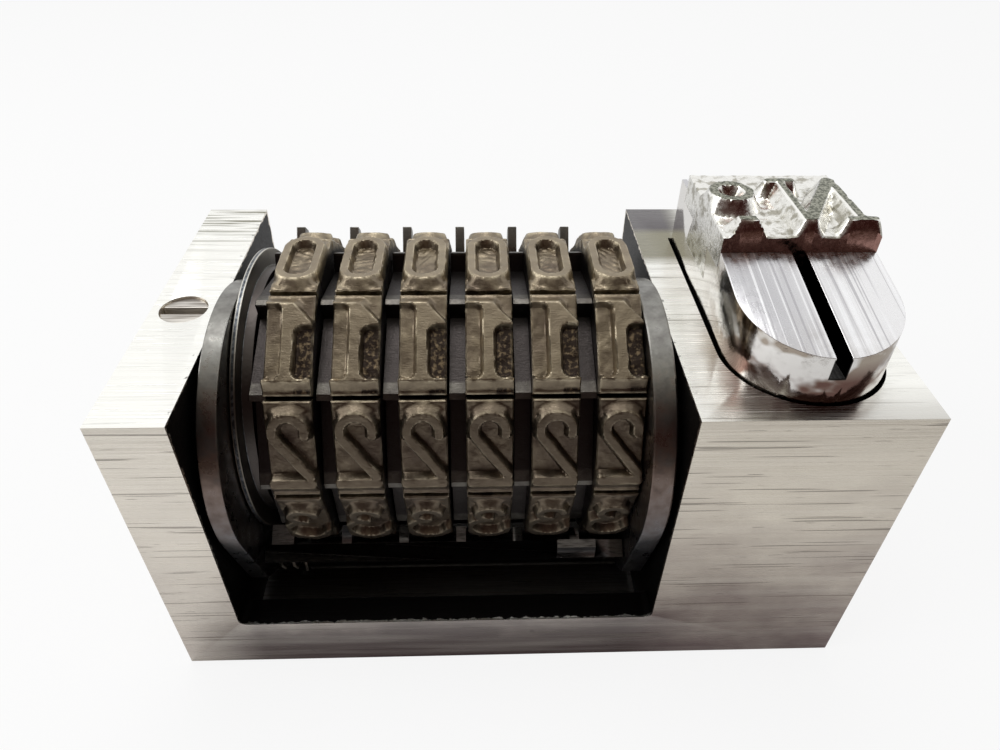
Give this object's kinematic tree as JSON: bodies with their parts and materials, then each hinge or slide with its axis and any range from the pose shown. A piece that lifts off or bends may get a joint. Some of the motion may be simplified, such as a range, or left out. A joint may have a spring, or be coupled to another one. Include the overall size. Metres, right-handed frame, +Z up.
{
  "type": "letterpress numbering machine",
  "caption": "Type-high block with figure wheels on a shaft between its walls, a spring plunger with a raised sign, and a pawl swing that advances the wheels.",
  "frame": {"origin": "middle of the frame's bottom, on the bed that the block stands on", "axes": "+X along the wheel shaft towards the plunger, +Y to the back, +Z up from the bed"},
  "size_m": [0.042, 0.0225, 0.027],
  "materials": {
    "nickel_plate": "bright nickel plate over brushed steel, worn at the edges",
    "base_steel": "ground",
    "screw_steel": "turned, oiled",
    "shaft_steel": "ground",
    "wheel_steel": "hardened, bronze-brown, polished by wear on the edges",
    "swing_steel": "dark oiled steel",
    "pawl_steel": "dark hardened steel",
    "spring_steel": "spring temper",
    "plunger_chrome": "polished, fly cut on top"
  },
  "bodies": {
    "root": {"frame": "nickel_plate", "base_plate": "base_steel", "base_screws": "screw_steel", "wheel_shaft": "shaft_steel", "shaft_lock_screw": "nickel_plate", "spacer_collar": "swing_steel", "retaining_rod": "shaft_steel", "leaf_spring": "spring_steel", "leaf_spring_screws": "screw_steel", "plunger_springs": "spring_steel", "plunger_stop_screw": "screw_steel"},
    "wheel_1": {"wheel_1": "wheel_steel"},
    "wheel_2": {"wheel_2": "wheel_steel"},
    "wheel_3": {"wheel_3": "wheel_steel"},
    "wheel_4": {"wheel_4": "wheel_steel"},
    "wheel_5": {"wheel_5": "wheel_steel"},
    "wheel_6": {"wheel_6": "wheel_steel"},
    "swing": {"swing_left_arm": "swing_steel", "swing_right_arm": "swing_steel", "swing_tie_bar": "swing_steel", "pawl_pin": "shaft_steel", "drive_stud": "shaft_steel", "comb_pawl_spring": "spring_steel"},
    "comb_pawl": {"comb_pawl": "pawl_steel"},
    "retaining_pawl_1": {"retaining_pawl_1": "pawl_steel"},
    "retaining_pawl_2": {"retaining_pawl_2": "pawl_steel"},
    "retaining_pawl_3": {"retaining_pawl_3": "pawl_steel"},
    "retaining_pawl_4": {"retaining_pawl_4": "pawl_steel"},
    "retaining_pawl_5": {"retaining_pawl_5": "pawl_steel"},
    "retaining_pawl_6": {"retaining_pawl_6": "pawl_steel"},
    "plunger": {"plunger": "plunger_chrome", "sign_slug": "plunger_chrome", "slug_screw": "screw_steel"}
  },
  "joints": [
    {"name": "plunger_slide", "type": "slide", "parent": "root", "child": "plunger", "axis": [0, 0, 1], "range_m": [-0.0037, 0], "stiffness_N_per_m": 2000, "springref_m": 0.002, "deforming": ["plunger_springs"]},
    {"name": "swing_turn", "type": "hinge", "parent": "root", "child": "swing", "pos_m": [0, 0.0005, 0.01352], "axis": [1, 0, 0], "range_deg": [0, 38.2]},
    {"name": "comb_pawl_turn", "type": "hinge", "parent": "swing", "child": "comb_pawl", "pos_m": [0, -0.006, 0.00423], "axis": [1, 0, 0], "range_deg": [0, 5], "stiffness_Nm_per_rad": 0.001, "springref_deg": -11.46, "deforming": ["comb_pawl_spring"]},
    {"name": "wheel_1_spin", "type": "hinge", "parent": "root", "child": "wheel_1", "pos_m": [0, 0.0005, 0.01352], "axis": [1, 0, 0], "continuous": true},
    {"name": "wheel_2_spin", "type": "hinge", "parent": "root", "child": "wheel_2", "pos_m": [0, 0.0005, 0.01352], "axis": [1, 0, 0], "continuous": true},
    {"name": "wheel_3_spin", "type": "hinge", "parent": "root", "child": "wheel_3", "pos_m": [0, 0.0005, 0.01352], "axis": [1, 0, 0], "continuous": true},
    {"name": "wheel_4_spin", "type": "hinge", "parent": "root", "child": "wheel_4", "pos_m": [0, 0.0005, 0.01352], "axis": [1, 0, 0], "continuous": true},
    {"name": "wheel_5_spin", "type": "hinge", "parent": "root", "child": "wheel_5", "pos_m": [0, 0.0005, 0.01352], "axis": [1, 0, 0], "continuous": true},
    {"name": "wheel_6_spin", "type": "hinge", "parent": "root", "child": "wheel_6", "pos_m": [0, 0.0005, 0.01352], "axis": [1, 0, 0], "continuous": true},
    {"name": "retaining_pawl_1_turn", "type": "hinge", "parent": "root", "child": "retaining_pawl_1", "pos_m": [0, 0.0089, 0.00521], "axis": [1, 0, 0], "range_deg": [-4, 0], "stiffness_Nm_per_rad": 0.001, "springref_deg": 11.46, "deforming": ["leaf_spring"]},
    {"name": "retaining_pawl_2_turn", "type": "hinge", "parent": "root", "child": "retaining_pawl_2", "pos_m": [0, 0.0089, 0.00521], "axis": [1, 0, 0], "range_deg": [-4, 0], "stiffness_Nm_per_rad": 0.001, "springref_deg": 11.46, "deforming": ["leaf_spring"]},
    {"name": "retaining_pawl_3_turn", "type": "hinge", "parent": "root", "child": "retaining_pawl_3", "pos_m": [0, 0.0089, 0.00521], "axis": [1, 0, 0], "range_deg": [-4, 0], "stiffness_Nm_per_rad": 0.001, "springref_deg": 11.46, "deforming": ["leaf_spring"]},
    {"name": "retaining_pawl_4_turn", "type": "hinge", "parent": "root", "child": "retaining_pawl_4", "pos_m": [0, 0.0089, 0.00521], "axis": [1, 0, 0], "range_deg": [-4, 0], "stiffness_Nm_per_rad": 0.001, "springref_deg": 11.46, "deforming": ["leaf_spring"]},
    {"name": "retaining_pawl_5_turn", "type": "hinge", "parent": "root", "child": "retaining_pawl_5", "pos_m": [0, 0.0089, 0.00521], "axis": [1, 0, 0], "range_deg": [-4, 0], "stiffness_Nm_per_rad": 0.001, "springref_deg": 11.46, "deforming": ["leaf_spring"]},
    {"name": "retaining_pawl_6_turn", "type": "hinge", "parent": "root", "child": "retaining_pawl_6", "pos_m": [0, 0.0089, 0.00521], "axis": [1, 0, 0], "range_deg": [-4, 0], "stiffness_Nm_per_rad": 0.001, "springref_deg": 11.46, "deforming": ["leaf_spring"]}
  ],
  "couplings": [
    {"joint": "swing_turn", "follows": "plunger_slide", "rad_per_m": -179.25}
  ]
}
